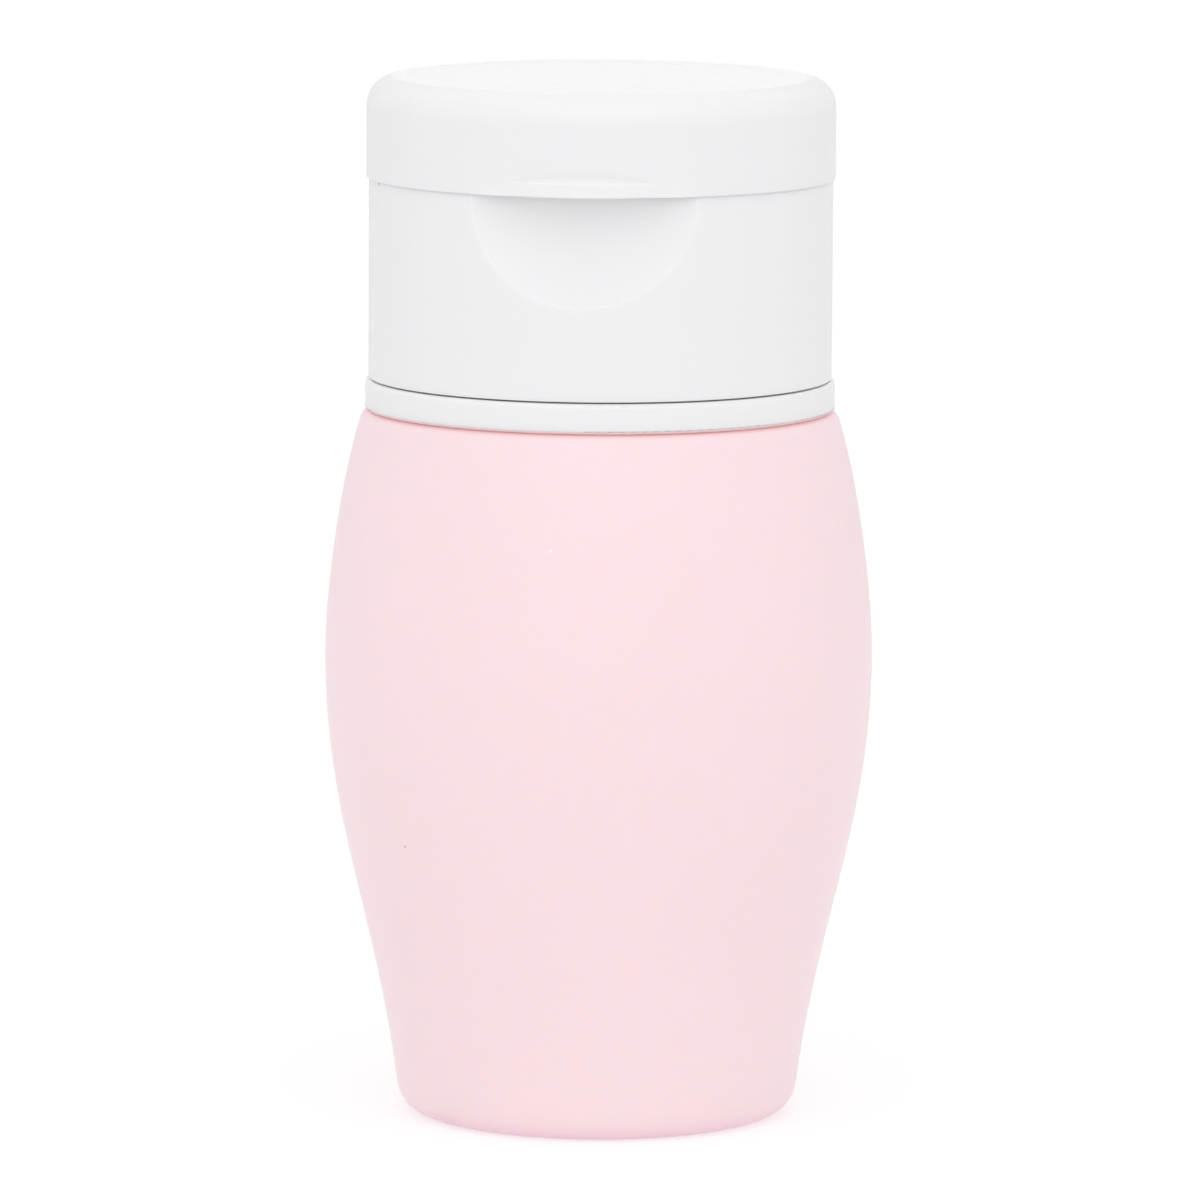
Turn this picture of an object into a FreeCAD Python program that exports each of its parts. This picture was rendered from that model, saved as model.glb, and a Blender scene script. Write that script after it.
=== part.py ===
import FreeCAD, Part
import math
import os

# Travel squeeze bottle: a soft silicone body, a hard threaded collar and a screw cap with a flip lid.
# Millimetres, +Z up. The origin is the centre of the foot on the standing plane.
# The thumb recess faces -Y and the lid's hinge is at +Y.

# Soft body
body_diameter = 50.0
widest_height = 42.3
shoulder_height = 64.9
shoulder_diameter = 43.0
shoulder_lean_degrees = 19.4
foot_diameter = 36.1
foot_lean_degrees = 5.7
foot_rounding = 2.75
shoulder_rounding = 1.6
body_wall = 2.0
base_thickness = 2.6
shoulder_thickness = 2.6
cavity_rounding = 1.8
foot_hollow_diameter = 22.0
foot_hollow_depth = 0.6
# Lengths of the outline's curve handles, as shares of the height that each curve spans
foot_handle_share = 0.414
lower_bulge_handle_share = 0.386
upper_bulge_handle_share = 0.25
shoulder_handle_share = 0.263

# Neck, from the mouth outwards
mouth_diameter = 20.4
mouth_ring_wall = 1.1
mouth_ring_set_back = 0.25
mouth_ring_edge = 0.3
soft_neck_wall = 1.4
soft_lip_thickness = 1.2
hard_neck_wall = 1.25
sleeve_clearance = 0.05

# Collar
collar_height = 2.65
collar_overhang = 0.29
collar_top_rounding = 0.4
collar_foot_rounding = 0.25
collar_root_rounding = 0.4
collar_step_height = 0.8
collar_step_width = 1.2
collar_step_clearance = 0.15
collar_step_rounding = 0.2
neck_edge_rounding = 0.25

# Thread
thread_pitch = 4.0
thread_turns = 1.5
thread_depth = 0.95
thread_root_width = 1.9
thread_crest_width = 0.9
thread_clearance = 0.35
thread_margin = 0.3
thread_rooting = 0.3

# Screw cap
cap_diameter = 42.22
cap_height = 18.28
cap_wall = 1.4
cap_gap = 0.14
deck_thickness = 1.6
deck_rounding = 0.8
cap_edge_rounding = 0.12
inner_skirt_wall = 1.25
inner_skirt_set_back = 0.6
washer_thickness = 1.2
washer_clearance = 0.3

# Thumb recess under the front of the lid
recess_height = 9.95
recess_depth = 3.3
recess_plan_radius = 74.4
recess_shell = 1.6
recess_edge_rounding = 0.08

# Spout and valve
spout_bore_diameter = 7.6
nozzle_wall = 1.0
nozzle_height = 1.4
nozzle_rounding = 0.4
spout_cover = 1.0
spout_side_wall = 1.2
spout_rounding = 0.6
valve_flange_diameter = 13.2
valve_flange_thickness = 1.0
valve_riser_clearance = 0.15
valve_riser_wall = 0.7
valve_membrane_thickness = 0.7
valve_rounding = 0.4
valve_slit_length = 4.6
valve_slit_width = 0.16
retainer_thickness = 1.6
retainer_bore_diameter = 9.0
retainer_clearance = 0.02
retainer_edge = 0.3

# Flip lid
lid_height = 9.095
lid_overhang = 0.22
lid_wall = 1.3
lid_thickness = 1.5
lid_rounding = 2.6
lid_lead_rounding = 0.3
lid_inner_rounding = 1.3
dish_margin = 0.4
dish_slope_width = 1.0
dish_depth = 0.14
dish_rounding = 1.2
land_height = 1.1
land_wall = 1.2
land_clearance = 0.35
land_rounding = 0.3
plug_depth = 0.9
plug_wall = 1.0
plug_clearance = 0.3
plug_rounding = 0.3
plug_root_rounding = 0.6
valve_headroom = 0.5

# Parting line between lid and cap: a little wider across the front, with a notch at its left end
front_gap = 0.03
rear_gap = 0.015
front_gap_half_degrees = 66.5
gap_notch_width = 0.3
gap_notch_depth = 0.33

# Thumb lip and thumb tab of the lid
lip_reach = 0.8
lip_plan_radius = 13.0
lip_face_height = 1.25
lip_flare_height = 0.62
lip_flare_rounding = 0.5
lip_top_rounding = 0.2
lip_edge_rounding = 0.25
lip_rooting = 0.03
tab_thickness = 1.2
tab_clearance = 0.35

# Lid hinge
hinge_inset = 1.05
barrel_diameter = 3.0
pin_diameter = 1.5
pin_edge = 0.15
pin_running_clearance = 0.05
pin_press_clearance = 0.01
knuckle_length = 6.4
knuckle_side_gap = 0.25
hinge_window_clearance = 0.3
lid_window_rise = 2.0
swing_clearance = 0.35
hinge_web_reach = 0.6
ear_web_reach = 0.2
hinge_web_rooting = 0.9

# How far a cutting tool runs past what it cuts
overrun = 1.0

# Heights that follow from the stack of pieces
collar_top = shoulder_height + collar_height
cap_bottom = collar_top + cap_gap
rim_height = cap_bottom + cap_height
deck_under = rim_height - deck_thickness
lip_top = deck_under - washer_thickness
neck_top = lip_top - soft_lip_thickness
inner_skirt_bottom = cap_bottom + inner_skirt_set_back
lid_bottom = rim_height + rear_gap
lid_top = lid_bottom + lid_height
lid_under = lid_top - lid_thickness
flange_bottom = deck_under + retainer_thickness
valve_seat = flange_bottom + valve_flange_thickness
spout_shoulder = valve_seat + spout_cover
spout_top = spout_shoulder + nozzle_height
plug_tip = spout_top - plug_depth
valve_top = plug_tip - valve_headroom
cap_thread_start = inner_skirt_bottom + thread_root_width / 2 + thread_margin
neck_thread_start = cap_thread_start + thread_pitch / 2

# Radii that follow from the mouth outwards
mouth_radius = mouth_diameter / 2
mouth_ring_radius = mouth_radius + mouth_ring_wall
soft_neck_bore = mouth_ring_radius + sleeve_clearance
soft_neck_radius = soft_neck_bore + soft_neck_wall
hard_neck_bore = soft_neck_radius + sleeve_clearance
hard_neck_radius = hard_neck_bore + hard_neck_wall
neck_thread_crest = hard_neck_radius + thread_depth
skirt_bore = neck_thread_crest + thread_clearance
cap_thread_crest = skirt_bore - thread_depth
skirt_radius = skirt_bore + inner_skirt_wall

# Radii that follow from the cap
cap_radius = cap_diameter / 2
collar_radius = cap_radius + collar_overhang
lid_radius = cap_radius + lid_overhang
lid_bore = lid_radius - lid_wall
land_radius = lid_bore - land_clearance
spout_bore = spout_bore_diameter / 2
nozzle_radius = spout_bore + nozzle_wall
pocket_radius = valve_flange_diameter / 2 + sleeve_clearance
spout_radius = pocket_radius + spout_side_wall
plug_radius = spout_bore - plug_clearance
valve_riser_radius = spout_bore - valve_riser_clearance
valve_bore = valve_riser_radius - valve_riser_wall

# The collar's step stands just inside the cap's skirt
collar_step_radius = cap_radius - cap_wall - collar_step_clearance
recess_centre_y = -(cap_radius - recess_depth + recess_plan_radius)

# Hinge places
hinge_y = lid_radius - hinge_inset
hinge_z = lid_bottom
barrel_radius = barrel_diameter / 2
pin_radius = pin_diameter / 2
knuckle_half = knuckle_length / 2
ear_inner = knuckle_half + knuckle_side_gap
hinge_window_half = math.sqrt(lid_radius ** 2 - hinge_y ** 2) + hinge_window_clearance
ear_outer = hinge_window_half - hinge_window_clearance
hinge_pocket = barrel_radius + swing_clearance
hinge_drop = math.hypot(hinge_inset, lid_window_rise) + swing_clearance
land_break = math.sqrt((land_radius - land_wall) ** 2 - hinge_window_half ** 2) - swing_clearance


def outline(corners):
    """Closed XZ wire through (radius, height, rounding) corners, each rounded by a tangent arc."""
    points = [FreeCAD.Vector(radius, 0, height) for radius, height, rounding in corners]
    starts = []
    ends = []
    middles = []
    for index, corner in enumerate(corners):
        here = points[index]
        rounding = corner[2]
        if rounding == 0:
            starts.append(here)
            ends.append(here)
            middles.append(None)
            continue
        to_last = (points[index - 1] - here).normalize()
        to_next = (points[(index + 1) % len(points)] - here).normalize()
        half_angle = to_last.getAngle(to_next) / 2
        setback = rounding / math.tan(half_angle)
        bisector = (to_last + to_next).normalize()
        centre = here + bisector * (rounding / math.sin(half_angle))
        starts.append(here + to_last * setback)
        ends.append(here + to_next * setback)
        middles.append(centre - bisector * rounding)
    edges = []
    for index in range(len(points)):
        if middles[index] is not None:
            edges.append(Part.Arc(starts[index], middles[index], ends[index]).toShape())
        following = (index + 1) % len(points)
        edges.append(Part.LineSegment(ends[index], starts[following]).toShape())
    return Part.Wire(edges)


def turned(wire, centre_y=0.0):
    """Solid of revolution of an XZ outline about the upright line through (0, centre_y)."""
    solid = Part.Face(wire).revolve(FreeCAD.Vector(0, 0, 0), FreeCAD.Vector(0, 0, 1), 360)
    solid.translate(FreeCAD.Vector(0, centre_y, 0))
    return solid


def tube(bore, radius, bottom, top):
    """Plain upright ring."""
    return turned(outline([(bore, bottom, 0), (radius, bottom, 0), (radius, top, 0), (bore, top, 0)]))


def disc(radius, bottom, top):
    """Plain upright cylinder."""
    return Part.makeCylinder(radius, top - bottom, FreeCAD.Vector(0, 0, bottom))


def block(low, high):
    """Box between two corners."""
    low = FreeCAD.Vector(*low)
    size = FreeCAD.Vector(*high) - low
    return Part.makeBox(size.x, size.y, size.z, low)


def bar(radius, start_x, end_x):
    """Cylinder along the hinge axis."""
    start = FreeCAD.Vector(start_x, hinge_y, hinge_z)
    return Part.makeCylinder(radius, end_x - start_x, start, FreeCAD.Vector(1, 0, 0))


def rings_at(solid, height):
    """Round edges of a solid that lie at one height."""
    tolerance = overrun / 1000
    found = []
    for edge in solid.Edges:
        box = edge.BoundBox
        if abs(box.ZMin - height) < tolerance and abs(box.ZMax - height) < tolerance:
            found.append(edge)
    return found


def curve(points):
    """Bezier edge through an XZ list of (radius, height) poles."""
    bezier = Part.BezierCurve()
    bezier.setPoles([FreeCAD.Vector(radius, 0, height) for radius, height in points])
    return bezier.toShape()


def body_form(drawn_in):
    """The body's outer form from standing plane to shoulder plane, with its side drawn in by a wall."""
    foot = foot_diameter / 2 - drawn_in
    widest = body_diameter / 2 - drawn_in
    shoulder = shoulder_diameter / 2 - drawn_in
    upper_height = shoulder_height - widest_height
    foot_handle = foot_handle_share * widest_height
    bulge_handle = lower_bulge_handle_share * widest_height
    upper_handle = upper_bulge_handle_share * upper_height
    shoulder_handle = shoulder_handle_share * upper_height
    lower = curve([
        (foot, 0),
        (foot + foot_handle * math.tan(math.radians(foot_lean_degrees)), foot_handle),
        (widest, widest_height - bulge_handle),
        (widest, widest_height),
    ])
    upper = curve([
        (widest, widest_height),
        (widest, widest_height + upper_handle),
        (shoulder + shoulder_handle * math.tan(math.radians(shoulder_lean_degrees)),
         shoulder_height - shoulder_handle),
        (shoulder, shoulder_height),
    ])
    middle_low = FreeCAD.Vector(0, 0, 0)
    middle_high = FreeCAD.Vector(0, 0, shoulder_height)
    foot_line = Part.LineSegment(middle_low, FreeCAD.Vector(foot, 0, 0)).toShape()
    shoulder_line = Part.LineSegment(FreeCAD.Vector(shoulder, 0, shoulder_height), middle_high).toShape()
    axis_line = Part.LineSegment(middle_high, middle_low).toShape()
    return turned(Part.Wire([foot_line, lower, upper, shoulder_line, axis_line]))


def thread_ridge(wall_radius, crest_radius, start_height):
    """Right-hand ridge that winds up a wall and is rooted in it."""
    outward = 1 if crest_radius > wall_radius else -1
    root = wall_radius - outward * thread_rooting
    flank = (thread_root_width - thread_crest_width) / 2 / thread_depth
    half_root = thread_root_width / 2 + flank * thread_rooting
    half_crest = thread_crest_width / 2
    helix = Part.makeHelix(thread_pitch, thread_pitch * thread_turns, wall_radius)
    section = Part.makePolygon([
        FreeCAD.Vector(root, 0, -half_root),
        FreeCAD.Vector(crest_radius, 0, -half_crest),
        FreeCAD.Vector(crest_radius, 0, half_crest),
        FreeCAD.Vector(root, 0, half_root),
        FreeCAD.Vector(root, 0, -half_root),
    ])
    ridge = Part.Wire(helix.Edges).makePipeShell([section], True, True)
    ridge.translate(FreeCAD.Vector(0, 0, start_height))
    return ridge


def silicone_bottle():
    """Soft body with its neck and the lip that folds over the collar."""
    outside = body_form(0.0)
    outside = outside.makeFillet(foot_rounding, rings_at(outside, 0))
    outside = outside.makeFillet(shoulder_rounding, rings_at(outside, shoulder_height))
    cavity_top = shoulder_height - shoulder_thickness
    cavity = body_form(body_wall).common(disc(body_diameter, base_thickness, cavity_top))
    cavity_edges = rings_at(cavity, base_thickness) + rings_at(cavity, cavity_top)
    cavity = cavity.makeFillet(cavity_rounding, cavity_edges)
    neck = outline([
        (soft_neck_bore, cavity_top, 0),
        (soft_neck_radius, cavity_top, 0),
        (soft_neck_radius, neck_top, 0),
        (hard_neck_radius, neck_top, 0),
        (hard_neck_radius, lip_top, neck_edge_rounding),
        (soft_neck_bore, lip_top, neck_edge_rounding),
    ])
    hollow_radius = foot_hollow_diameter / 2
    hollow = Part.makeCone(hollow_radius + foot_hollow_depth, hollow_radius, foot_hollow_depth)
    bore = disc(soft_neck_bore, cavity_top - overrun, lip_top + overrun)
    return outside.fuse(turned(neck)).cut(cavity).cut(bore).cut(hollow).removeSplitter()


def threaded_collar():
    """Hard ring on the shoulder, with a step inside the cap's skirt and the threaded neck."""
    step_top = collar_top + collar_step_height
    form = turned(outline([
        (hard_neck_bore, shoulder_height, 0),
        (collar_radius, shoulder_height, collar_foot_rounding),
        (collar_radius, collar_top, collar_top_rounding),
        (collar_step_radius, collar_top, 0),
        (collar_step_radius, step_top, collar_step_rounding),
        (collar_step_radius - collar_step_width, step_top, collar_step_rounding),
        (collar_step_radius - collar_step_width, collar_top, 0),
        (hard_neck_radius, collar_top, collar_root_rounding),
        (hard_neck_radius, neck_top, neck_edge_rounding),
        (hard_neck_bore, neck_top, 0),
    ]))
    return form.fuse(thread_ridge(hard_neck_radius, neck_thread_crest, neck_thread_start)).removeSplitter()


def mouth_ring():
    """Hard sleeve that holds the soft neck open."""
    top = lip_top - mouth_ring_set_back
    bottom = shoulder_height - shoulder_thickness
    return turned(outline([
        (mouth_radius, bottom, mouth_ring_edge),
        (mouth_ring_radius, bottom, mouth_ring_edge),
        (mouth_ring_radius, top, mouth_ring_edge),
        (mouth_radius, top, mouth_ring_edge),
    ]))


def seal_washer():
    """Flat soft ring between the lip and the deck."""
    return tube(mouth_radius, skirt_bore - washer_clearance, lip_top, deck_under)


def recess_form(back, rise):
    """Solid in front of the recess surface, grown backwards by a wall and run up past the rim."""
    reach = recess_plan_radius + back
    drop = recess_height + back
    foot_reach = reach - recess_depth
    sweep = (drop ** 2 + recess_depth ** 2) / (2 * recess_depth)
    turn = math.asin(drop / sweep) / 2
    middle = FreeCAD.Vector(reach - sweep + sweep * math.cos(turn), 0, rim_height - sweep * math.sin(turn))
    top_point = FreeCAD.Vector(reach, 0, rim_height)
    foot_point = FreeCAD.Vector(foot_reach, 0, rim_height - drop)
    core = recess_plan_radius / 2
    edges = [
        Part.LineSegment(FreeCAD.Vector(core, 0, rim_height - drop), foot_point).toShape(),
        Part.Arc(foot_point, middle, top_point).toShape(),
        Part.LineSegment(top_point, FreeCAD.Vector(reach, 0, rim_height + rise)).toShape(),
        Part.LineSegment(FreeCAD.Vector(reach, 0, rim_height + rise),
                         FreeCAD.Vector(core, 0, rim_height + rise)).toShape(),
        Part.LineSegment(FreeCAD.Vector(core, 0, rim_height + rise),
                         FreeCAD.Vector(core, 0, rim_height - drop)).toShape(),
    ]
    return turned(Part.Wire(edges), recess_centre_y)


def recess_tool():
    """What the recess takes out of the cap, with its edge against the skirt rounded over."""
    whole = disc(cap_radius, cap_bottom, lid_top)
    hollowed = whole.cut(recess_form(0.0, lid_height + overrun))
    edges = []
    for edge in hollowed.Edges:
        middle = edge.valueAt((edge.FirstParameter + edge.LastParameter) / 2)
        beside_recess = middle.y < -cap_radius / 2 and cap_bottom < middle.z < lid_top
        if beside_recess and math.hypot(middle.x, middle.y) > cap_radius - recess_edge_rounding:
            edges.append(edge)
    return whole.cut(hollowed.makeFillet(recess_edge_rounding, edges))


def cap_shell():
    """Turned form of the cap: outer skirt, deck, inner skirt, land for the lid and spout."""
    return turned(outline([
        (spout_bore, spout_top, nozzle_rounding / 2),
        (nozzle_radius, spout_top, nozzle_rounding),
        (nozzle_radius, spout_shoulder, nozzle_rounding),
        (spout_radius, spout_shoulder, spout_rounding),
        (spout_radius, rim_height, nozzle_rounding),
        (land_radius - land_wall, rim_height, 0),
        (land_radius - land_wall, rim_height + land_height, land_rounding),
        (land_radius, rim_height + land_height, land_rounding),
        (land_radius, rim_height, 0),
        (cap_radius, rim_height, 0),
        (cap_radius, cap_bottom, cap_edge_rounding),
        (cap_radius - cap_wall, cap_bottom, cap_edge_rounding),
        (cap_radius - cap_wall, deck_under, deck_rounding),
        (skirt_radius, deck_under, deck_rounding),
        (skirt_radius, inner_skirt_bottom, 0),
        (skirt_bore, inner_skirt_bottom, 0),
        (skirt_bore, deck_under, 0),
        (pocket_radius, deck_under, 0),
        (pocket_radius, valve_seat, 0),
        (spout_bore, valve_seat, 0),
    ]))


def front_parting_cut():
    """Tool that opens the parting line across the front and notches its left end."""
    depth = front_gap - rear_gap
    inside = land_radius
    outside = cap_radius + overrun
    face = Part.Face(outline([
        (inside, rim_height - depth, 0),
        (outside, rim_height - depth, 0),
        (outside, rim_height + overrun, 0),
        (inside, rim_height + overrun, 0),
    ]))
    face.rotate(FreeCAD.Vector(0, 0, 0), FreeCAD.Vector(0, 0, 1), -90 - front_gap_half_degrees)
    tool = face.revolve(FreeCAD.Vector(0, 0, 0), FreeCAD.Vector(0, 0, 1), 2 * front_gap_half_degrees)
    notch = block((inside, -gap_notch_width / 2, rim_height - depth - gap_notch_depth),
                  (outside, gap_notch_width / 2, rim_height + overrun))
    notch.rotate(FreeCAD.Vector(0, 0, 0), FreeCAD.Vector(0, 0, 1), -90 - front_gap_half_degrees)
    return tool.fuse(notch)


def hinge_window():
    """Room in the back of the cap and its land for the barrel, the lid's web and the lid's swinging edge."""
    outside = lid_radius + overrun
    above = rim_height + land_height + overrun
    behind = block((-hinge_window_half, hinge_y, hinge_z - hinge_drop), (hinge_window_half, outside, above))
    over = block((-hinge_window_half, land_break, rim_height), (hinge_window_half, outside, above))
    return behind.fuse(over).fuse(bar(hinge_pocket, -hinge_window_half, hinge_window_half))


def cap_ear(side):
    """One of the cap's two hinge ears, on its foot."""
    low_x, high_x = sorted((side * ear_inner, side * ear_outer))
    foot = block((low_x, hinge_y - hinge_pocket - cap_wall / 2, hinge_z - hinge_drop - cap_wall / 2),
                 (high_x, hinge_y + ear_web_reach, hinge_z))
    return foot.fuse(bar(barrel_radius, low_x, high_x))


def cap_base():
    """Screw cap with recess, spout, inner thread and hinge ears."""
    inside_skirt = disc(cap_radius - cap_wall / 2, cap_bottom, rim_height + land_height)
    backing = recess_form(recess_shell, land_height).common(inside_skirt)
    housing_half = hinge_window_half + cap_wall
    housing_front = hinge_y - hinge_pocket - cap_wall
    housing_bottom = hinge_z - hinge_drop - cap_wall
    housing = block((-housing_half, housing_front, housing_bottom), (housing_half, cap_radius, rim_height))
    housing = housing.common(inside_skirt)
    skirt_room = disc(skirt_bore, cap_bottom - overrun, deck_under)
    lid_room = tube(land_radius, cap_radius + overrun, rim_height, rim_height + land_height + overrun)
    pin_hole = bar(pin_radius + pin_press_clearance, -ear_outer - overrun, ear_outer + overrun)
    solid = cap_shell().fuse(backing).cut(lid_room).fuse(housing)
    solid = solid.cut(front_parting_cut()).cut(hinge_window())
    solid = solid.fuse(cap_ear(-1)).fuse(cap_ear(1)).cut(pin_hole).cut(skirt_room)
    solid = solid.fuse(thread_ridge(skirt_bore, cap_thread_crest, cap_thread_start))
    return solid.cut(recess_tool())


def slit_valve():
    """Soft valve: a flange, a riser and a membrane with crossed slits."""
    form = turned(outline([
        (0, valve_top - valve_membrane_thickness, 0),
        (valve_bore, valve_top - valve_membrane_thickness, 0),
        (valve_bore, flange_bottom, 0),
        (valve_flange_diameter / 2, flange_bottom, 0),
        (valve_flange_diameter / 2, valve_seat, 0),
        (valve_riser_radius, valve_seat, 0),
        (valve_riser_radius, valve_top, valve_rounding),
        (0, valve_top, 0),
    ]))
    half_length = valve_slit_length / 2
    half_width = valve_slit_width / 2
    under = valve_top - valve_membrane_thickness - overrun
    slit = block((-half_length, -half_width, under), (half_length, half_width, valve_top + overrun))
    crossing = slit.copy()
    crossing.rotate(FreeCAD.Vector(0, 0, 0), FreeCAD.Vector(0, 0, 1), 90)
    return form.cut(slit).cut(crossing)


def valve_retainer():
    """Ring that holds the valve's flange up against its seat."""
    bore = retainer_bore_diameter / 2
    radius = pocket_radius - retainer_clearance
    return turned(outline([
        (bore, deck_under, retainer_edge),
        (radius, deck_under, retainer_edge),
        (radius, flange_bottom, 0),
        (bore, flange_bottom, retainer_edge),
    ]))


def hinge_pin():
    """Steel pin through both ears and the lid's knuckle."""
    pin = bar(pin_radius, -ear_outer, ear_outer)
    ends = [edge for edge in pin.Edges if edge.BoundBox.XLength < pin_edge]
    return pin.makeChamfer(pin_edge, ends)


def lid_shell():
    """Turned form of the lid: skirt, rounded top with its dish, and the plug that closes the spout."""
    flat_radius = lid_radius - lid_rounding - dish_margin
    return turned(outline([
        (0, lid_under, 0),
        (plug_radius - plug_wall, lid_under, 0),
        (plug_radius - plug_wall, plug_tip, plug_rounding),
        (plug_radius, plug_tip, plug_rounding),
        (plug_radius, lid_under, plug_root_rounding),
        (lid_bore, lid_under, lid_inner_rounding),
        (lid_bore, lid_bottom, lid_lead_rounding),
        (lid_radius, lid_bottom, 0),
        (lid_radius, lid_top, lid_rounding),
        (flat_radius, lid_top, dish_rounding),
        (flat_radius - dish_slope_width, lid_top - dish_depth, dish_rounding),
        (0, lid_top - dish_depth, 0),
    ]))


def thumb_lip():
    """Ledge that flares out of the lid's front edge, turned about a line inside the lid."""
    centre_y = -(lid_radius + lip_reach - lip_plan_radius)
    face_top = lid_bottom + lip_face_height
    flare_top = face_top + lip_flare_height
    root_top = flare_top + lip_flare_rounding
    neck_radius = lip_plan_radius - lip_reach - lip_rooting
    core_radius = neck_radius / 2
    ledge = turned(outline([
        (core_radius, lid_bottom, 0),
        (lip_plan_radius, lid_bottom, lip_edge_rounding),
        (lip_plan_radius, face_top, lip_top_rounding),
        (neck_radius, flare_top, lip_flare_rounding),
        (neck_radius, root_top, 0),
        (core_radius, root_top, 0),
    ]), centre_y)
    return ledge.cut(disc(lid_radius - lid_wall / 2, lid_bottom - overrun, root_top + overrun))


def thumb_tab():
    """Floor of the lid's front edge over the recess, which the thumb lifts."""
    over_recess = disc(recess_plan_radius - tab_clearance, lid_bottom, lid_bottom + tab_thickness)
    over_recess.translate(FreeCAD.Vector(0, recess_centre_y, 0))
    return over_recess.common(disc(lid_radius - lid_wall / 2, lid_bottom, lid_bottom + tab_thickness))


def lid_knuckle():
    """Middle barrel of the hinge, with the web that carries it from the lid's back wall."""
    web = block((-knuckle_half, hinge_y - barrel_radius, hinge_z),
                (knuckle_half, hinge_y + hinge_web_reach, hinge_z + lid_window_rise + hinge_web_rooting))
    return web.fuse(bar(barrel_radius, -knuckle_half, knuckle_half))


def flip_lid():
    """Lid with its thumb lip, tab, plug and hinge knuckle."""
    window = block((-hinge_window_half, hinge_y - hinge_pocket, lid_bottom - overrun),
                   (hinge_window_half, lid_radius + overrun, hinge_z + lid_window_rise))
    solid = lid_shell().fuse(thumb_lip()).fuse(thumb_tab()).cut(window).fuse(lid_knuckle())
    bore = pin_radius + pin_running_clearance
    return solid.cut(bar(bore, -knuckle_half - overrun, knuckle_half + overrun)).removeSplitter()


pieces = [silicone_bottle, threaded_collar, mouth_ring, seal_washer, cap_base, slit_valve, valve_retainer,
          hinge_pin, flip_lid]
os.makedirs("parts", exist_ok=True)
for piece in pieces:
    shape = piece()
    print(piece.__name__, len(shape.Solids), "solid, valid:", shape.isValid(), round(shape.Volume, 1), "mm3")
    shape.exportStep("parts/" + piece.__name__ + ".step")
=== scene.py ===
import math

import bmesh
import bpy
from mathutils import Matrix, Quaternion, Vector
from mathutils.geometry import interpolate_bezier


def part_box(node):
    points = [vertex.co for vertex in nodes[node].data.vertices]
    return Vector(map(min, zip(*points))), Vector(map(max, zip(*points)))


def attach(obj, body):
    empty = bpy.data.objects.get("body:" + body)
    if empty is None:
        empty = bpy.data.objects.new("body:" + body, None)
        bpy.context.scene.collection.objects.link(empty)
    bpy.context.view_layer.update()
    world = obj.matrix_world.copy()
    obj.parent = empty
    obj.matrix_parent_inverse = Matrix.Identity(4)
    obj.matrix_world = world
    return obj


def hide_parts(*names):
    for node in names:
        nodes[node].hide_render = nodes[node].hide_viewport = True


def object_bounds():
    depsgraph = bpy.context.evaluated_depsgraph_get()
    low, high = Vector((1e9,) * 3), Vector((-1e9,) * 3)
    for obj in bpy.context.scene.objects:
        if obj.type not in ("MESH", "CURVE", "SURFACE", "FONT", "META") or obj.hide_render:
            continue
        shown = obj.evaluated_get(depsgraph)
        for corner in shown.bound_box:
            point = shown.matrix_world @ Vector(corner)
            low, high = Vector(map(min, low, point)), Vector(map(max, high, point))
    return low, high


# Travel squeeze bottle: a soft pink body under a white collar, screw cap and flip lid.
# Metres, +Z up. The thumb recess faces -Y and the hinge is at +Y, as in the frame.

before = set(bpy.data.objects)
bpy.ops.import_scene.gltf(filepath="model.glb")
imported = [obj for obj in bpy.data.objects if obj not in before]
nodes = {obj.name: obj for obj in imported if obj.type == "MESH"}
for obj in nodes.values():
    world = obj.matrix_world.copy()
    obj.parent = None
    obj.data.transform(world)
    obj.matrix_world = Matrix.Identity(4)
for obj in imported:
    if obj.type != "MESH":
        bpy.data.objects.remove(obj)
cad_low, cad_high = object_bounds()

# Boxes of the pieces that the soft ones and the finishes fit
bottle_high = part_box("silicone_bottle")[1]
collar_low, collar_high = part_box("threaded_collar")
washer_low, washer_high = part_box("seal_washer")
valve_low, valve_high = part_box("slit_valve")
ring_low, ring_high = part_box("mouth_ring")
cap_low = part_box("cap_base")[0]

# Soft body, as its solid has it
belly_radius = bottle_high.x
belly_height = 0.0423
shoulder_radius = 0.0215
shoulder_lean = math.radians(19.4)
shoulder_rounding = 0.0016
foot_radius = 0.01805
foot_lean = math.radians(5.7)
foot_rounding = 0.00275
wall = 0.0020
floor_thickness = 0.0026
shoulder_thickness = 0.0026
cavity_rounding = 0.0018
foot_hollow_radius = 0.0110
foot_hollow_depth = 0.0006
foot_hollow_edge = 0.0003
neck_room = 0.00005
neck_wall = 0.0014
neck_bore = ring_high.x + neck_room
neck_radius = neck_bore + neck_wall
lip_radius = 0.01405
lip_thickness = 0.0012
lip_edge = 0.00025

# How strongly the side's two curves pull at foot, belly and shoulder, as shares of their heights
foot_pull_share = 0.414
low_belly_pull_share = 0.386
high_belly_pull_share = 0.25
shoulder_pull_share = 0.263

# Fold of the soft shoulder that wells up round the collar's foot
collar_foot_rounding = 0.00025
fold_reach = 0.0005
fold_rise = 0.00016
fold_thickness = 0.00005
fold_room = 0.000005

# Heights of painted shade, where the silicone is coloured a deeper pink: in the crease under the collar
# and at the foot's rim
crease_rise = 0.0001
crease_height = collar_low.z + crease_rise
crease_shade_spread = 0.0006
rim_height = 0.0
rim_shade_spread = 0.0016

# Seam between collar and cap, where painted light makes the plastic paler, lifting the shade in the gap
seam_gap = 0.00014
seam_height = cap_low.z - seam_gap / 2
seam_light_spread = 0.00016

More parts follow.
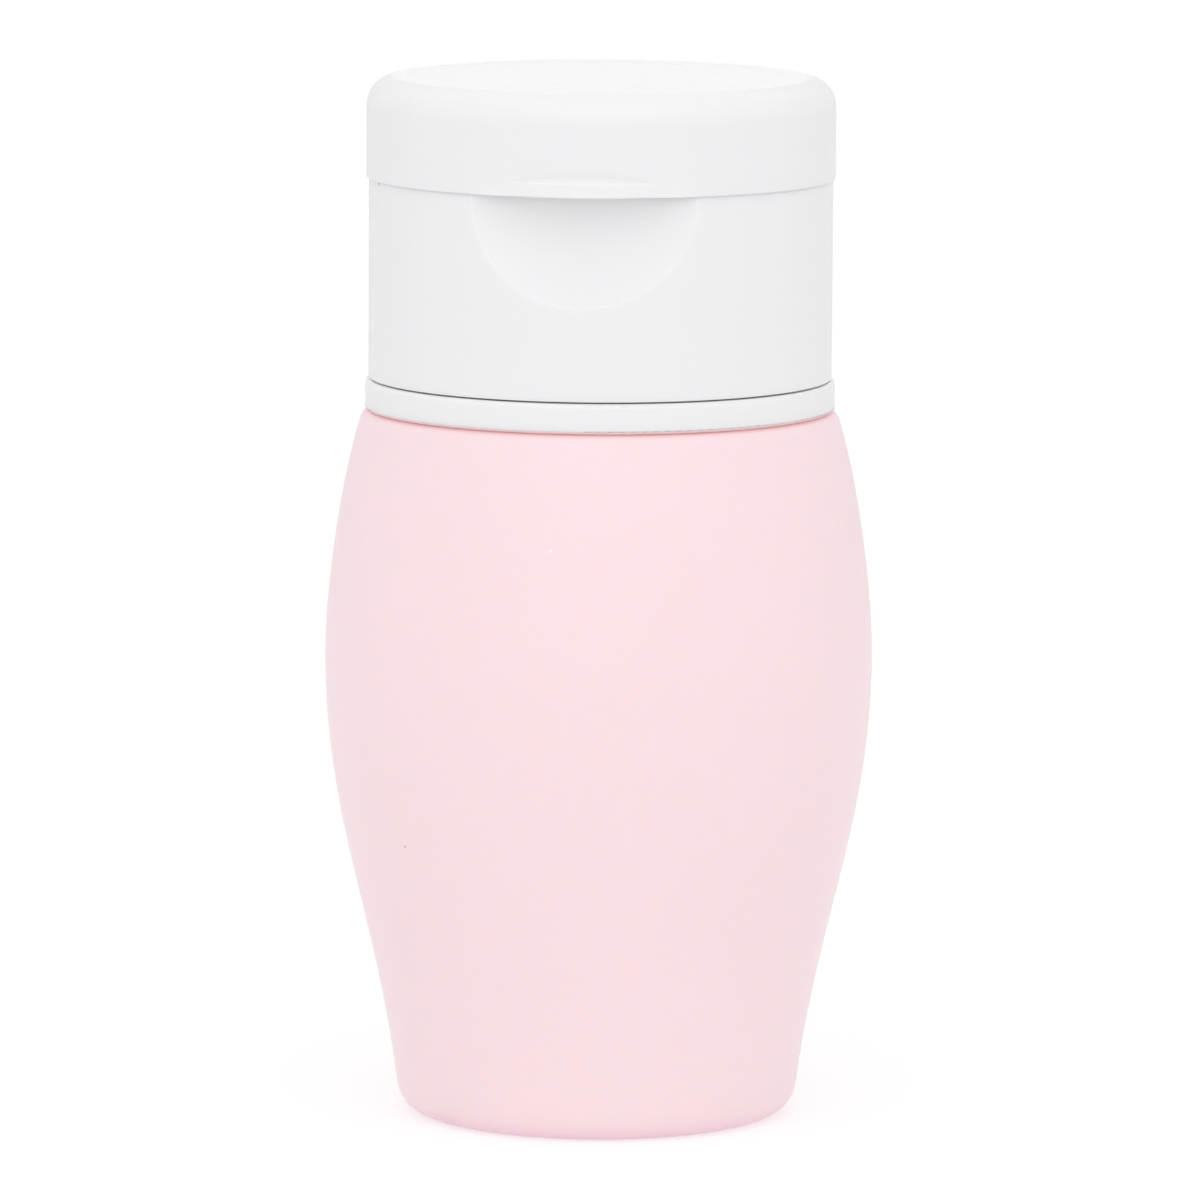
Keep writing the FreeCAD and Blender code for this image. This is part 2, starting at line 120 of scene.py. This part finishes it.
# Soft seal and valve
ring_wall = 0.0011
washer_edge = 0.00025
washer_groove_share = 0.18
washer_groove_depth = 0.00012
valve_flange = 0.0010
valve_riser_radius = 0.00365
valve_bore = 0.00295
valve_membrane = 0.0007
valve_edge = 0.00035
valve_fine_edge = valve_edge / 2
valve_dip = 0.00025
valve_dip_radius = valve_riser_radius * 0.55
valve_rim_radius = valve_riser_radius * 0.8
slit_length = 0.0046
slit_width = 0.00016
slit_cut_height = valve_membrane * 3

# How finely round forms are divided
turn_steps = 192
small_turn_steps = 96
arc_steps = 9
side_steps = 40
sharp_angle = math.radians(50)
weld_distance = 1e-7


def flat_point(radius, height):
    """Point of an outline, in the plane that is turned about the bottle's axis."""
    return Vector((radius, 0.0, height))


def stretch(start, start_pull, end_pull, end, steps):
    """Points along one curved stretch of an outline."""
    return interpolate_bezier(flat_point(*start), flat_point(*start_pull), flat_point(*end_pull),
                              flat_point(*end), steps)


def rounded(before, corner, after, rounding):
    """Points of the arc that rounds one corner of an outline."""
    here = flat_point(*corner)
    to_before = (flat_point(*before) - here).normalized()
    to_after = (flat_point(*after) - here).normalized()
    turn = math.pi - to_before.angle(to_after)
    setback = rounding * math.tan(turn / 2)
    pull = setback - rounding * math.tan(turn / 4) * 4 / 3
    return interpolate_bezier(here + to_before * setback, here + to_before * pull,
                              here + to_after * pull, here + to_after * setback, arc_steps)


def outline(corners):
    """Points through (radius, height, rounding) corners, each rounded corner as an arc."""
    points = []
    for index, (radius, height, rounding) in enumerate(corners):
        if rounding:
            before = corners[index - 1][:2]
            after = corners[(index + 1) % len(corners)][:2]
            points.extend(rounded(before, (radius, height), after, rounding))
        else:
            points.append(flat_point(radius, height))
    return points


def turned(points, steps, closed):
    """Bmesh of an outline turned about the bottle's axis, with its poles and seam closed."""
    form = bmesh.new()
    chain = [form.verts.new(point) for point in points]
    for first, second in zip(chain, chain[1:]):
        form.edges.new((first, second))
    if closed:
        form.edges.new((chain[-1], chain[0]))
    bmesh.ops.spin(form, geom=form.verts[:] + form.edges[:], cent=(0, 0, 0), axis=(0, 0, 1),
                   dvec=(0, 0, 0), angle=2 * math.pi, steps=steps, use_merge=True, use_duplicate=False)
    bmesh.ops.remove_doubles(form, verts=form.verts[:], dist=weld_distance)
    bmesh.ops.recalc_face_normals(form, faces=form.faces[:])
    return form


def piece_from(form, name, material, body, replaced):
    """Object from a bmesh, smooth, riding on its body in place of a solid."""
    for face in form.faces:
        face.smooth = True
    for edge in form.edges:
        edge.smooth = edge.calc_face_angle(0.0) < sharp_angle
    mesh = bpy.data.meshes.new(name)
    form.to_mesh(mesh)
    form.free()
    piece = bpy.data.objects.new(name, mesh)
    bpy.context.scene.collection.objects.link(piece)
    mesh.materials.append(material)
    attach(piece, body)
    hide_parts(replaced)
    return piece


def side_points(drawn_in):
    """Points up the body's side from foot to shoulder, drawn in by a wall."""
    foot = foot_radius - drawn_in
    belly = belly_radius - drawn_in
    shoulder = shoulder_radius - drawn_in
    top = collar_low.z
    foot_pull = foot_pull_share * belly_height
    upper = top - belly_height
    shoulder_pull = shoulder_pull_share * upper
    low_side = stretch((foot, 0.0), (foot + foot_pull * math.tan(foot_lean), foot_pull),
                       (belly, belly_height * (1 - low_belly_pull_share)),
                       (belly, belly_height), side_steps)
    high_side = stretch((belly, belly_height), (belly, belly_height + high_belly_pull_share * upper),
                        (shoulder + shoulder_pull * math.tan(shoulder_lean), top - shoulder_pull),
                        (shoulder, top), side_steps)
    return low_side + high_side[1:]


def side_radius(points, height):
    """Radius of a side at one height."""
    for first, second in zip(points, points[1:]):
        if first.z <= height <= second.z:
            share = (height - first.z) / (second.z - first.z)
            return first.x + share * (second.x - first.x)
    return points[-1].x


def collar_foot(room):
    """Points round the collar's rounded foot at some distance from it, from below to its side."""
    centre = flat_point(collar_high.x - collar_foot_rounding, collar_low.z + collar_foot_rounding)
    rise = math.asin((collar_foot_rounding - fold_rise) / collar_foot_rounding)
    reach = collar_foot_rounding + room
    points = []
    for step in range(arc_steps):
        turn = math.pi / 2 + (rise - math.pi / 2) * step / (arc_steps - 1)
        points.append(centre + flat_point(math.cos(turn), -math.sin(turn)) * reach)
    return points


def between(points, low, high):
    """The points of a side that lie between two heights."""
    return [point for point in points if low < point.z < high]


def soft_body(material):
    """Squeeze body: bulging wall, hollow foot, rounded shoulder, neck and the lip over the collar."""
    top = collar_low.z
    neck_top = bottle_high.z - lip_thickness
    outside = side_points(0.0)
    foot_arc = rounded((0.0, 0.0), (foot_radius, 0.0),
                       (foot_radius + belly_height * math.tan(foot_lean), belly_height), foot_rounding)
    shoulder_arc = rounded((shoulder_radius + belly_height * math.tan(shoulder_lean), top - belly_height),
                           (shoulder_radius, top), (0.0, top), shoulder_rounding)
    fold_root = flat_point(collar_high.x - fold_reach, top - fold_thickness)
    shoulder_arc = [point for point in shoulder_arc if point.x > fold_root.x]
    fold = [fold_root] + collar_foot(fold_thickness) + collar_foot(fold_room)[::-1]
    inside = side_points(wall)
    cavity_floor = floor_thickness
    cavity_roof = top - shoulder_thickness
    low_corner = side_radius(inside, cavity_floor)
    high_corner = side_radius(inside, cavity_roof)
    below_roof = (high_corner + cavity_rounding * math.tan(shoulder_lean), cavity_roof - cavity_rounding)
    above_floor = (low_corner + cavity_rounding * math.tan(foot_lean), cavity_floor + cavity_rounding)
    roof_arc = rounded((neck_bore, cavity_roof), (high_corner, cavity_roof), below_roof, cavity_rounding)
    floor_arc = rounded(above_floor, (low_corner, cavity_floor), (0.0, cavity_floor), cavity_rounding)
    hollow = outline([
        (0.0, foot_hollow_depth, 0),
        (foot_hollow_radius, foot_hollow_depth, foot_hollow_edge),
        (foot_hollow_radius + foot_hollow_depth, 0.0, foot_hollow_edge),
        (foot_radius, 0.0, 0),
    ])[:-1]
    neck = outline([
        (neck_radius, top, lip_edge),
        (neck_radius, neck_top, 0),
        (lip_radius, neck_top, 0),
        (lip_radius, bottle_high.z, lip_edge),
        (neck_bore, bottle_high.z, lip_edge),
        (neck_bore, cavity_roof, lip_edge),
        (high_corner, cavity_roof, 0),
        (shoulder_radius, top, 0),
    ])[:-2]
    points = hollow + foot_arc + between(outside, foot_arc[-1].z, shoulder_arc[0].z) + shoulder_arc
    points += fold + neck
    points += roof_arc + between(inside, floor_arc[0].z, roof_arc[-1].z)[::-1] + floor_arc
    points.append(flat_point(0.0, cavity_floor))
    return piece_from(turned(points, turn_steps, False), "soft_body", material, "bottle",
                      "silicone_bottle")


def sealing_ring(material):
    """Flat soft washer with rounded edges and a shallow groove in both faces."""
    bore = -ring_low.x - ring_wall
    radius = washer_high.x
    low = washer_low.z
    high = washer_high.z
    width = radius - bore
    groove_in = bore + width * (0.5 - washer_groove_share / 2)
    groove_out = bore + width * (0.5 + washer_groove_share / 2)
    points = outline([
        (bore, low, washer_edge),
        (groove_in, low, 0),
        (groove_in + washer_groove_depth, low + washer_groove_depth, 0),
        (groove_out - washer_groove_depth, low + washer_groove_depth, 0),
        (groove_out, low, 0),
        (radius, low, washer_edge),
        (radius, high, washer_edge),
        (groove_out, high, 0),
        (groove_out - washer_groove_depth, high - washer_groove_depth, 0),
        (groove_in + washer_groove_depth, high - washer_groove_depth, 0),
        (groove_in, high, 0),
        (bore, high, washer_edge),
    ])
    return piece_from(turned(points, turn_steps, True), "sealing_ring", material, "washer",
                      "seal_washer")


def valve(material):
    """Soft valve: flange, riser and a dipped membrane with crossed slits."""
    low = valve_low.z
    high = valve_high.z
    flange_radius = valve_high.x
    points = outline([
        (0.0, high - valve_dip, 0),
        (valve_dip_radius, high - valve_dip, valve_edge),
        (valve_rim_radius, high, valve_fine_edge),
        (valve_riser_radius, high, valve_edge),
        (valve_riser_radius, low + valve_flange, valve_fine_edge),
        (flange_radius, low + valve_flange, valve_fine_edge),
        (flange_radius, low, valve_fine_edge),
        (valve_bore, low, valve_fine_edge),
        (valve_bore, high - valve_membrane, valve_fine_edge),
        (0.0, high - valve_membrane, 0),
    ])
    form = turned(points, small_turn_steps, False)
    piece = piece_from(form, "valve_membrane", material, "cap", "slit_valve")
    cutter_form = bmesh.new()
    for length, width in ((slit_length, slit_width), (slit_width, slit_length)):
        block = bmesh.ops.create_cube(cutter_form, size=1.0)
        bmesh.ops.scale(cutter_form, vec=(length, width, slit_cut_height), verts=block["verts"])
        bmesh.ops.translate(cutter_form, vec=(0, 0, high), verts=block["verts"])
    cutter_mesh = bpy.data.meshes.new("slit_cutter")
    cutter_form.to_mesh(cutter_mesh)
    cutter_form.free()
    cutter = bpy.data.objects.new("slit_cutter", cutter_mesh)
    bpy.context.scene.collection.objects.link(cutter)
    cut = piece.modifiers.new("slits", "BOOLEAN")
    cut.operation = "DIFFERENCE"
    cut.solver = "EXACT"
    cut.use_self = True
    cut.object = cutter
    bpy.context.view_layer.update()
    slit = bpy.data.meshes.new_from_object(piece.evaluated_get(bpy.context.evaluated_depsgraph_get()))
    piece.modifiers.clear()
    piece.data = slit
    bpy.data.objects.remove(cutter)
    return piece


# Tones of the finishes
pink_tones = (0.960, 0.739, 0.770), (0.972, 0.761, 0.796)
# Painted shade: a deeper pink for the crease under the collar
crease_shade_pink = (1.0, 0.67, 0.66)
# Painted shade: a deeper pink for the foot's rim
rim_shade_pink = (1.0, 0.67, 0.78)
pale_lint = (0.985, 0.90, 0.91)
dark_specks = (0.62, 0.40, 0.42)
cap_tone = (0.86, 0.86, 0.87)
ring_tone = (0.84, 0.84, 0.85)
# Painted light: paler plastic along the seam between collar and cap
seam_painted_light = (0.98, 0.955, 0.925)
plastic_speck_share = 0.8
milky_tones = (0.78, 0.78, 0.75), (0.84, 0.84, 0.82)
steel_tones = (0.50, 0.50, 0.51), (0.66, 0.66, 0.66)

# How rough the finishes are, from the smoothest to the dullest patch
silicone_roughness = 0.34, 0.42
milky_roughness = 0.38, 0.50
steel_roughness = 0.20, 0.36
cap_roughness = 0.19, 0.25
ring_roughness = 0.33, 0.39

# The part of a noise's range that most of its values lie in
noise_low = 0.3
noise_high = 0.7

# Streaks along the drawn wire: long in X and fine across it
streak_scale = (40.0, 9000.0, 9000.0)


# Node groups that several finishes share

def new_group(name, inputs, outputs):
    """Empty shader node group with named sockets."""
    group = bpy.data.node_groups.new(name, "ShaderNodeTree")
    for socket, value in inputs:
        made = group.interface.new_socket(name=socket, in_out="INPUT", socket_type="NodeSocketFloat")
        made.default_value = value
    for socket in outputs:
        group.interface.new_socket(name=socket, in_out="OUTPUT", socket_type="NodeSocketFloat")
    return group, group.nodes.new("NodeGroupInput"), group.nodes.new("NodeGroupOutput")


def math_node(tree, operation, first, second):
    """Math node whose two operands are sockets or numbers."""
    node = tree.nodes.new("ShaderNodeMath")
    node.operation = operation
    for slot, value in enumerate((first, second)):
        if isinstance(value, (int, float)):
            node.inputs[slot].default_value = value
        else:
            tree.links.new(value, node.inputs[slot])
    return node.outputs[0]


def dust_group():
    """Scattered fine specks: a mask that is 1 on a speck and 0 elsewhere."""
    tree, given, put = new_group("fine_dust", (("Scale", 900.0), ("Size", 0.12), ("Share", 0.02)),
                                 ("Mask",))
    place = tree.nodes.new("ShaderNodeTexCoord")
    cells = tree.nodes.new("ShaderNodeTexVoronoi")
    tree.links.new(place.outputs["Object"], cells.inputs["Vector"])
    tree.links.new(given.outputs["Scale"], cells.inputs["Scale"])
    small = math_node(tree, "LESS_THAN", cells.outputs["Distance"], given.outputs["Size"])
    pick = tree.nodes.new("ShaderNodeSeparateColor")
    tree.links.new(cells.outputs["Color"], pick.inputs["Color"])
    chosen = math_node(tree, "LESS_THAN", pick.outputs["Red"], given.outputs["Share"])
    tree.links.new(math_node(tree, "MULTIPLY", small, chosen), put.inputs["Mask"])
    return tree


def skin_group():
    """Moulded skin: fine grain for relief, and slow clouds for tone and gloss."""
    tree, given, put = new_group("moulded_skin", (("Grain Scale", 4000.0), ("Cloud Scale", 60.0)),
                                 ("Grain", "Clouds"))
    place = tree.nodes.new("ShaderNodeTexCoord")
    for scale, detail, result in (("Grain Scale", 3.0, "Grain"), ("Cloud Scale", 4.0, "Clouds")):
        noise = tree.nodes.new("ShaderNodeTexNoise")
        noise.inputs["Detail"].default_value = detail
        tree.links.new(place.outputs["Object"], noise.inputs["Vector"])
        tree.links.new(given.outputs[scale], noise.inputs["Scale"])
        tree.links.new(noise.outputs["Fac"], put.inputs[result])
    return tree


fine_dust = dust_group()
moulded_skin = skin_group()


class Finish:
    """A material with one Principled shader, and short ways to add nodes to it."""

    def __init__(self, name):
        self.material = bpy.data.materials.new(name)
        self.material.use_nodes = True
        self.tree = self.material.node_tree
        self.shader = self.tree.nodes["Principled BSDF"]

    def set(self, **values):
        """Constant values on the shader's own sockets, named with underscores for spaces."""
        for socket, value in values.items():
            self.shader.inputs[socket.replace("_", " ")].default_value = value

    def group(self, group, **values):
        """Places a shared group with its own values."""
        node = self.tree.nodes.new("ShaderNodeGroup")
        node.node_tree = group
        for socket, value in values.items():
            node.inputs[socket.replace("_", " ")].default_value = value
        return node

    def blend(self, factor, first, second):
        """Colour between two colours by a mask."""
        node = self.tree.nodes.new("ShaderNodeMix")
        node.data_type = "RGBA"
        self.tree.links.new(factor, node.inputs["Factor"])
        for socket, value in (("A", first), ("B", second)):
            target = next(s for s in node.inputs if s.name == socket and s.type == "RGBA")
            if isinstance(value, tuple):
                target.default_value = (*value, 1.0)
            else:
                self.tree.links.new(value, target)
        return next(s for s in node.outputs if s.type == "RGBA")

    def ranged(self, value, low, high):
        """A 0 to 1 value spread over a range."""
        node = self.tree.nodes.new("ShaderNodeMapRange")
        self.tree.links.new(value, node.inputs["Value"])
        node.inputs["From Min"].default_value = noise_low
        node.inputs["From Max"].default_value = noise_high
        node.inputs["To Min"].default_value = low
        node.inputs["To Max"].default_value = high
        return node.outputs["Result"]

    def band(self, height, spread):
        """Mask that is 1 at one height on the piece and fades to 0 above and below it."""
        place = self.tree.nodes.new("ShaderNodeTexCoord")
        axes = self.tree.nodes.new("ShaderNodeSeparateXYZ")
        self.tree.links.new(place.outputs["Object"], axes.inputs["Vector"])
        away = math_node(self.tree, "SUBTRACT", axes.outputs["Z"], height)
        share = math_node(self.tree, "DIVIDE", math_node(self.tree, "ABSOLUTE", away, 0.0), spread)
        return math_node(self.tree, "MAXIMUM", math_node(self.tree, "SUBTRACT", 1.0, share), 0.0)

    def feed(self, value, socket):
        """Joins a value to one of the shader's sockets."""
        self.tree.links.new(value, self.shader.inputs[socket])

    def relief(self, height, strength, distance):
        """Bump from a height that changes over the surface."""
        node = self.tree.nodes.new("ShaderNodeBump")
        node.inputs["Strength"].default_value = strength
        node.inputs["Distance"].default_value = distance
        self.tree.links.new(height, node.inputs["Height"])
        self.feed(node.outputs["Normal"], "Normal")


def pink_silicone():
    """Pale pink silicone: matt, a little translucent, with painted shade making it a deeper pink in the
    crease and at the foot, with lint.
    """
    finish = Finish("pink_silicone")
    finish.set(Subsurface_Weight=0.3, Subsurface_Radius=(1.0, 0.35, 0.3), Subsurface_Scale=0.0010,
               Specular_IOR_Level=0.5, Sheen_Weight=0.06, Sheen_Roughness=0.5, IOR=1.41)
    skin = finish.group(moulded_skin, Grain_Scale=5200.0, Cloud_Scale=70.0)
    tone = finish.blend(skin.outputs["Clouds"], *pink_tones)
    # painted shade: a deeper pink band in the crease under the collar
    tone = finish.blend(finish.band(crease_height, crease_shade_spread), tone, crease_shade_pink)
    # painted shade: a deeper pink band at the foot's rim
    tone = finish.blend(finish.band(rim_height, rim_shade_spread), tone, rim_shade_pink)
    lint = finish.group(fine_dust, Scale=420.0, Size=0.09, Share=0.012)
    specks = finish.group(fine_dust, Scale=310.0, Size=0.06, Share=0.010)
    pale = finish.blend(lint.outputs["Mask"], tone, pale_lint)
    finish.feed(finish.blend(specks.outputs["Mask"], pale, dark_specks), "Base Color")
    finish.feed(finish.ranged(skin.outputs["Clouds"], *silicone_roughness), "Roughness")
    finish.relief(skin.outputs["Grain"], strength=0.12, distance=0.00005)
    return finish.material


def white_plastic(name, colour, roughness):
    """Satin white moulded plastic: slightly wavy, with specks, clouds of gloss and painted light that
    makes the seam paler.
    """
    finish = Finish(name)
    finish.set(Subsurface_Weight=0.5, Subsurface_Radius=(1.0, 0.92, 0.82), Subsurface_Scale=0.0008,
               Specular_IOR_Level=0.5, IOR=1.49)
    skin = finish.group(moulded_skin, Grain_Scale=900.0, Cloud_Scale=45.0)
    lint = finish.group(fine_dust, Scale=380.0, Size=0.05, Share=0.006)
    # painted light: a paler band along the seam, lifting its shade
    tone = finish.blend(finish.band(seam_height, seam_light_spread), colour, seam_painted_light)
    speck = tuple(channel * plastic_speck_share for channel in colour)
    finish.feed(finish.blend(lint.outputs["Mask"], tone, speck), "Base Color")
    finish.feed(finish.ranged(skin.outputs["Clouds"], *roughness), "Roughness")
    finish.relief(skin.outputs["Grain"], strength=0.05, distance=0.00004)
    return finish.material


def milky_silicone():
    """Uncoloured soft silicone of the washer and the valve."""
    finish = Finish("milky_silicone")
    finish.set(Subsurface_Weight=0.5, Subsurface_Radius=(1.0, 0.95, 0.88), Subsurface_Scale=0.001,
               Specular_IOR_Level=0.4, IOR=1.41)
    skin = finish.group(moulded_skin, Grain_Scale=3000.0, Cloud_Scale=120.0)
    finish.feed(finish.blend(skin.outputs["Clouds"], *milky_tones), "Base Color")
    finish.feed(finish.ranged(skin.outputs["Clouds"], *milky_roughness), "Roughness")
    finish.relief(skin.outputs["Grain"], strength=0.1, distance=0.00004)
    return finish.material


def drawn_steel():
    """Bright drawn wire of the hinge pin, streaked along its length."""
    finish = Finish("drawn_steel")
    finish.set(Metallic=1.0)
    place = finish.tree.nodes.new("ShaderNodeTexCoord")
    along = finish.tree.nodes.new("ShaderNodeMapping")
    along.inputs["Scale"].default_value = streak_scale
    streaks = finish.tree.nodes.new("ShaderNodeTexNoise")
    streaks.inputs["Scale"].default_value = 1.0
    finish.tree.links.new(place.outputs["Object"], along.inputs["Vector"])
    finish.tree.links.new(along.outputs["Vector"], streaks.inputs["Vector"])
    finish.feed(finish.blend(streaks.outputs["Fac"], *steel_tones), "Base Color")
    finish.feed(finish.ranged(streaks.outputs["Fac"], *steel_roughness), "Roughness")
    finish.relief(streaks.outputs["Fac"], strength=0.08, distance=0.00002)
    return finish.material


def dress(node, material):
    """Gives a solid's object its finish."""
    shape = nodes[node].data
    shape.materials.clear()
    shape.materials.append(material)


cap_white = white_plastic("cap_white", cap_tone, cap_roughness)
ring_white = white_plastic("ring_white", ring_tone, ring_roughness)
milky = milky_silicone()
for node in ("cap_base", "flip_lid", "threaded_collar"):
    dress(node, cap_white)
for node in ("mouth_ring", "valve_retainer"):
    dress(node, ring_white)
dress("hinge_pin", drawn_steel())
soft_body(pink_silicone())
sealing_ring(milky)
valve(milky)


# Studio: a pale floor, a white room that is brightest high in front, two boxes overhead, two side cards

floor_size = 12.0
floor_drop = 0.00002
floor_tone = 0.45
floor_glow = 0.45
seen_floor_tone = 0.5
seen_floor_glow = 0.54
room_base = 0.885
room_key = 0.64
room_key_sharpness = 5.5
key_direction = Vector((0.07, -0.80, 0.595)).normalized()
top_box_place = (0.185, -0.07, 0.62)
top_box_size = (0.17, 0.20)
top_box_power = 0.025
card_distance = 0.42
card_azimuth = math.radians(140)
card_size = (0.60, 0.36)
card_tone = 0.85


def flat_sheet(name, width, depth, material):
    """Rectangular sheet of the studio, lying flat at the origin."""
    form = bmesh.new()
    bmesh.ops.create_grid(form, x_segments=1, y_segments=1, size=0.5)
    bmesh.ops.scale(form, vec=(width, depth, 1.0), verts=form.verts[:])
    mesh = bpy.data.meshes.new(name)
    form.to_mesh(mesh)
    form.free()
    mesh.materials.append(material)
    sheet = bpy.data.objects.new(name, mesh)
    bpy.context.scene.collection.objects.link(sheet)
    return sheet


def seen_directly(tree):
    """1 for rays that show the surroundings: to the camera, by reflection or through clear things."""
    path = tree.nodes.new("ShaderNodeLightPath")
    shown = math_node(tree, "MAXIMUM", path.outputs["Is Camera Ray"], path.outputs["Is Glossy Ray"])
    return math_node(tree, "MAXIMUM", shown, path.outputs["Is Transmission Ray"])


def floor_paper():
    """Pale paper that shows white and keeps a soft shadow."""
    material = bpy.data.materials.new("floor_paper")
    material.use_nodes = True
    tree = material.node_tree
    tree.nodes.clear()
    both = tree.nodes.new("ShaderNodeMixShader")
    put = tree.nodes.new("ShaderNodeOutputMaterial")
    for slot, tone, strength in ((1, floor_tone, floor_glow), (2, seen_floor_tone, seen_floor_glow)):
        paper = tree.nodes.new("ShaderNodeBsdfDiffuse")
        paper.inputs["Color"].default_value = (tone, tone, tone, 1.0)
        glow = tree.nodes.new("ShaderNodeEmission")
        glow.inputs["Strength"].default_value = strength
        lit = tree.nodes.new("ShaderNodeAddShader")
        tree.links.new(paper.outputs["BSDF"], lit.inputs[0])
        tree.links.new(glow.outputs["Emission"], lit.inputs[1])
        tree.links.new(lit.outputs["Shader"], both.inputs[slot])
    tree.links.new(seen_directly(tree), both.inputs["Fac"])
    tree.links.new(both.outputs["Shader"], put.inputs["Surface"])
    return material


def studio_floor():
    """Large pale floor just under the foot."""
    floor = flat_sheet("studio_floor", floor_size, floor_size, floor_paper())
    floor.location = (0, 0, -floor_drop)


def side_cards():
    """Grey cards at both sides, seen only as dim strips in the gloss of the cap."""
    finish = Finish("card_grey")
    finish.set(Base_Color=(card_tone, card_tone, card_tone, 1.0), Roughness=1.0, Specular_IOR_Level=0.0)
    for name, side in (("left_card", -1), ("right_card", 1)):
        card = flat_sheet(name, *card_size, finish.material)
        azimuth = view_azimuth + side * card_azimuth
        outward = Vector((math.sin(azimuth), -math.cos(azimuth), 0.0))
        card.location = outward * card_distance + Vector((0, 0, card_size[1] / 2))
        card.rotation_mode = "QUATERNION"
        card.rotation_quaternion = (-outward).to_track_quat("Z", "Y")
        card.visible_camera = False
        card.visible_diffuse = False
        card.visible_shadow = False


def soft_box(name, place, target, width, height, power):
    """Rectangular lamp that faces a point."""
    lamp = bpy.data.lights.new(name, "AREA")
    lamp.shape = "RECTANGLE"
    lamp.size = width
    lamp.size_y = height
    lamp.energy = power
    holder = bpy.data.objects.new(name, lamp)
    bpy.context.scene.collection.objects.link(holder)
    holder.location = place
    holder.rotation_mode = "QUATERNION"
    holder.rotation_quaternion = (Vector(target) - Vector(place)).to_track_quat("-Z", "Y")


def white_room():
    """White surroundings, brightest above and in front of the bottle."""
    world = bpy.data.worlds.new("white_room")
    bpy.context.scene.world = world
    world.use_nodes = True
    tree = world.node_tree
    room = tree.nodes["Background"]
    room.inputs["Color"].default_value = (1.0, 1.0, 1.0, 1.0)
    look = tree.nodes.new("ShaderNodeTexCoord")
    toward = tree.nodes.new("ShaderNodeVectorMath")
    toward.operation = "DOT_PRODUCT"
    toward.inputs[1].default_value = key_direction
    tree.links.new(look.outputs["Generated"], toward.inputs[0])
    facing = math_node(tree, "MAXIMUM", toward.outputs["Value"], 0.0)
    glow = math_node(tree, "POWER", facing, room_key_sharpness)
    level = math_node(tree, "ADD", math_node(tree, "MULTIPLY", glow, room_key), room_base)
    strength = math_node(tree, "MAXIMUM", level, seen_directly(tree))
    tree.links.new(strength, room.inputs["Strength"])


def top_boxes():
    """Two soft boxes overhead, which draw the streaks on the lid's edge."""
    across, along, up = top_box_place
    for name, side in (("left_top_box", -1), ("right_top_box", 1)):
        soft_box(name, (side * across, along, up), (0.0, 0.0, cad_high.z), *top_box_size, top_box_power)


# Camera, where the photograph was taken from

view_height = 0.0471
view_distance = 0.9124
view_elevation = math.radians(7.77)
view_azimuth = math.radians(4.7)
view_roll = math.radians(0.30)
view_side = 0.00010
lens_mm = 299.5
sensor_mm = 36.0
nearest_seen = 0.05
farthest_seen = 50.0


def camera():
    """Long lens a little above the bottle, turned a little to its right."""
    data = bpy.data.cameras.new("camera")
    data.lens = lens_mm
    data.sensor_width = sensor_mm
    data.clip_start = nearest_seen
    data.clip_end = farthest_seen
    eye = bpy.data.objects.new("camera", data)
    bpy.context.scene.collection.objects.link(eye)
    back = Vector((math.sin(view_azimuth) * math.cos(view_elevation),
                   -math.cos(view_azimuth) * math.cos(view_elevation), math.sin(view_elevation)))
    eye.location = Vector((view_side, 0.0, view_height)) + back * view_distance
    eye.rotation_mode = "QUATERNION"
    eye.rotation_quaternion = (-back).to_track_quat("-Z", "Y") @ Quaternion((0, 0, 1), view_roll)
    bpy.context.scene.camera = eye


studio_floor()
side_cards()
white_room()
top_boxes()
camera()
bpy.context.scene.view_settings.view_transform = "Standard"
